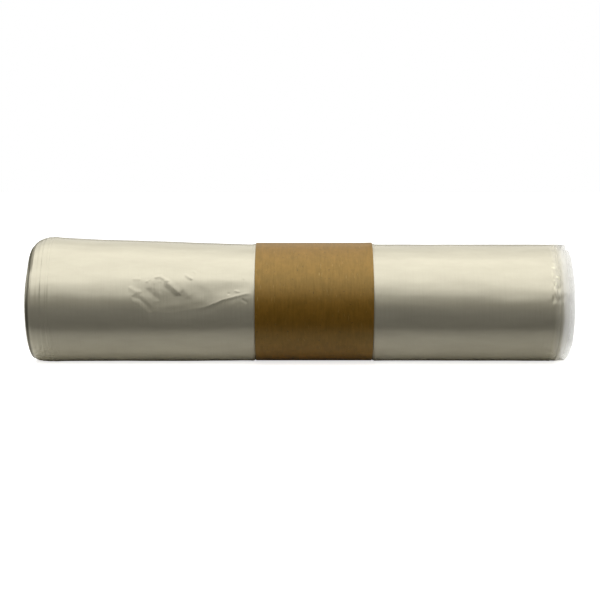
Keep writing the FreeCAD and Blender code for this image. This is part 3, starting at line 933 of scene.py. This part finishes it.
def build_stage(sizes):
    """The floor, the surroundings, the soft boxes and the camera."""
    select_none()
    bpy.ops.mesh.primitive_plane_add(size=FLOOR_SIZE, location=(0, 0, 0))
    floor = bpy.context.object
    floor.name = floor.data.name = "floor"
    floor.data.materials.append(floor_material())

    world = bpy.data.worlds.new("surroundings")
    bpy.context.scene.world = world
    world.use_nodes = True
    tree = world.node_tree
    tree.nodes.clear()
    seen = node(tree, "ShaderNodeLightPath").outputs["Is Camera Ray"]
    room = node(tree, "ShaderNodeBackground", sizes.room_tint, sizes.room_light).outputs[0]
    white = node(tree, "ShaderNodeBackground", srgb("FFFFFF"), 1.0).outputs[0]
    both = node(tree, "ShaderNodeMixShader", seen, room, white).outputs[0]
    node(tree, "ShaderNodeOutputWorld", both)

    for count, (front, back, radiance) in enumerate(SOFT_BOXES):
        place = (0, (front + back) / 2, sizes.lamp_height - SOFT_BOX_STEP * count)
        power = math.pi * radiance * sizes.lamp_share * sizes.lamp_length * (back - front)
        add_soft_box(f"soft_box_{count}", place, sizes.lamp_length, back - front, power)

    data = bpy.data.cameras.new("camera")
    camera = bpy.data.objects.new("camera", data)
    bpy.context.collection.objects.link(camera)
    target = Vector(sizes.view_centre)
    away = Vector((0, -math.cos(sizes.camera_elevation), math.sin(sizes.camera_elevation)))
    camera.location = target + away * sizes.camera_distance
    camera.rotation_euler = (-away).to_track_quat("-Z", "Y").to_euler()
    data.lens = data.sensor_width * sizes.camera_distance / sizes.frame_width
    data.clip_start = 0.01
    bpy.context.scene.camera = camera
    bpy.context.scene.view_settings.view_transform = "Standard"


# Operators, one for each piece and one for the stage.


class BAGROLL_OT_wound_film(bpy.types.Operator):
    """Builds the wound film"""

    bl_idname = "bagroll.wound_film"
    bl_label = "Wound film"

    def execute(self, context):
        piece = build_wound_film(context.scene.bagroll_film)
        piece.data.materials.append(film_material(context.scene.bagroll_film, context.scene.bagroll_plies))
        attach(piece, "root")
        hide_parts("film_roll")
        return {"FINISHED"}


class BAGROLL_OT_loose_plies(bpy.types.Operator):
    """Builds the loose plies at the loose-edge end"""

    bl_idname = "bagroll.loose_plies"
    bl_label = "Loose plies"

    def execute(self, context):
        piece = build_loose_plies(context.scene.bagroll_plies, context.scene.bagroll_film)
        piece.data.materials.append(loose_ply_material(context.scene.bagroll_plies))
        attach(piece, "root")
        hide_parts("film_roll")
        return {"FINISHED"}


class BAGROLL_OT_paper_band(bpy.types.Operator):
    """Builds the kraft paper band"""

    bl_idname = "bagroll.paper_band"
    bl_label = "Paper band"

    def execute(self, context):
        piece = build_paper_band(context.scene.bagroll_band, context.scene.bagroll_film)
        piece.data.materials.append(kraft_material(context.scene.bagroll_band))
        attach(piece, "root")
        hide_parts("paper_band")
        return {"FINISHED"}


class BAGROLL_OT_stage(bpy.types.Operator):
    """Builds the floor, the lamps, the surroundings and the camera"""

    bl_idname = "bagroll.stage"
    bl_label = "Stage"

    def execute(self, context):
        build_stage(context.scene.bagroll_stage)
        return {"FINISHED"}


OPERATORS = (BAGROLL_OT_wound_film, BAGROLL_OT_loose_plies, BAGROLL_OT_paper_band, BAGROLL_OT_stage)


class BAGROLL_PT_panel(bpy.types.Panel):
    """Lists the settings and the pieces in the 3D view's sidebar"""

    bl_idname = "BAGROLL_PT_panel"
    bl_label = "Bin bag roll"
    bl_space_type = "VIEW_3D"
    bl_region_type = "UI"
    bl_category = "Bag roll"

    def draw(self, context):
        for group in SETTING_GROUPS:
            settings = getattr(context.scene, group)
            for name in settings.bl_rna.properties.keys():
                if name not in ("rna_type", "name"):
                    self.layout.prop(settings, name)
        for operator in OPERATORS:
            self.layout.operator(operator.bl_idname)


SETTING_GROUPS = {
    "bagroll_film": WoundFilmSettings,
    "bagroll_plies": LoosePlySettings,
    "bagroll_band": PaperBandSettings,
    "bagroll_stage": StageSettings,
}


def register():
    """Registers the groups of settings, the operators and the panel."""
    for name, group in SETTING_GROUPS.items():
        bpy.utils.register_class(group)
        setattr(bpy.types.Scene, name, bpy.props.PointerProperty(type=group))
    for item in OPERATORS + (BAGROLL_PT_panel,):
        bpy.utils.register_class(item)


def unregister():
    """Takes them away again."""
    for item in (BAGROLL_PT_panel,) + OPERATORS[::-1]:
        bpy.utils.unregister_class(item)
    for name, group in SETTING_GROUPS.items():
        delattr(bpy.types.Scene, name)
        bpy.utils.unregister_class(group)


def main():
    """Builds every piece and the stage."""
    register()
    bpy.ops.bagroll.wound_film()
    bpy.ops.bagroll.loose_plies()
    bpy.ops.bagroll.paper_band()
    bpy.ops.bagroll.stage()


if __name__ == "__main__":
    main()
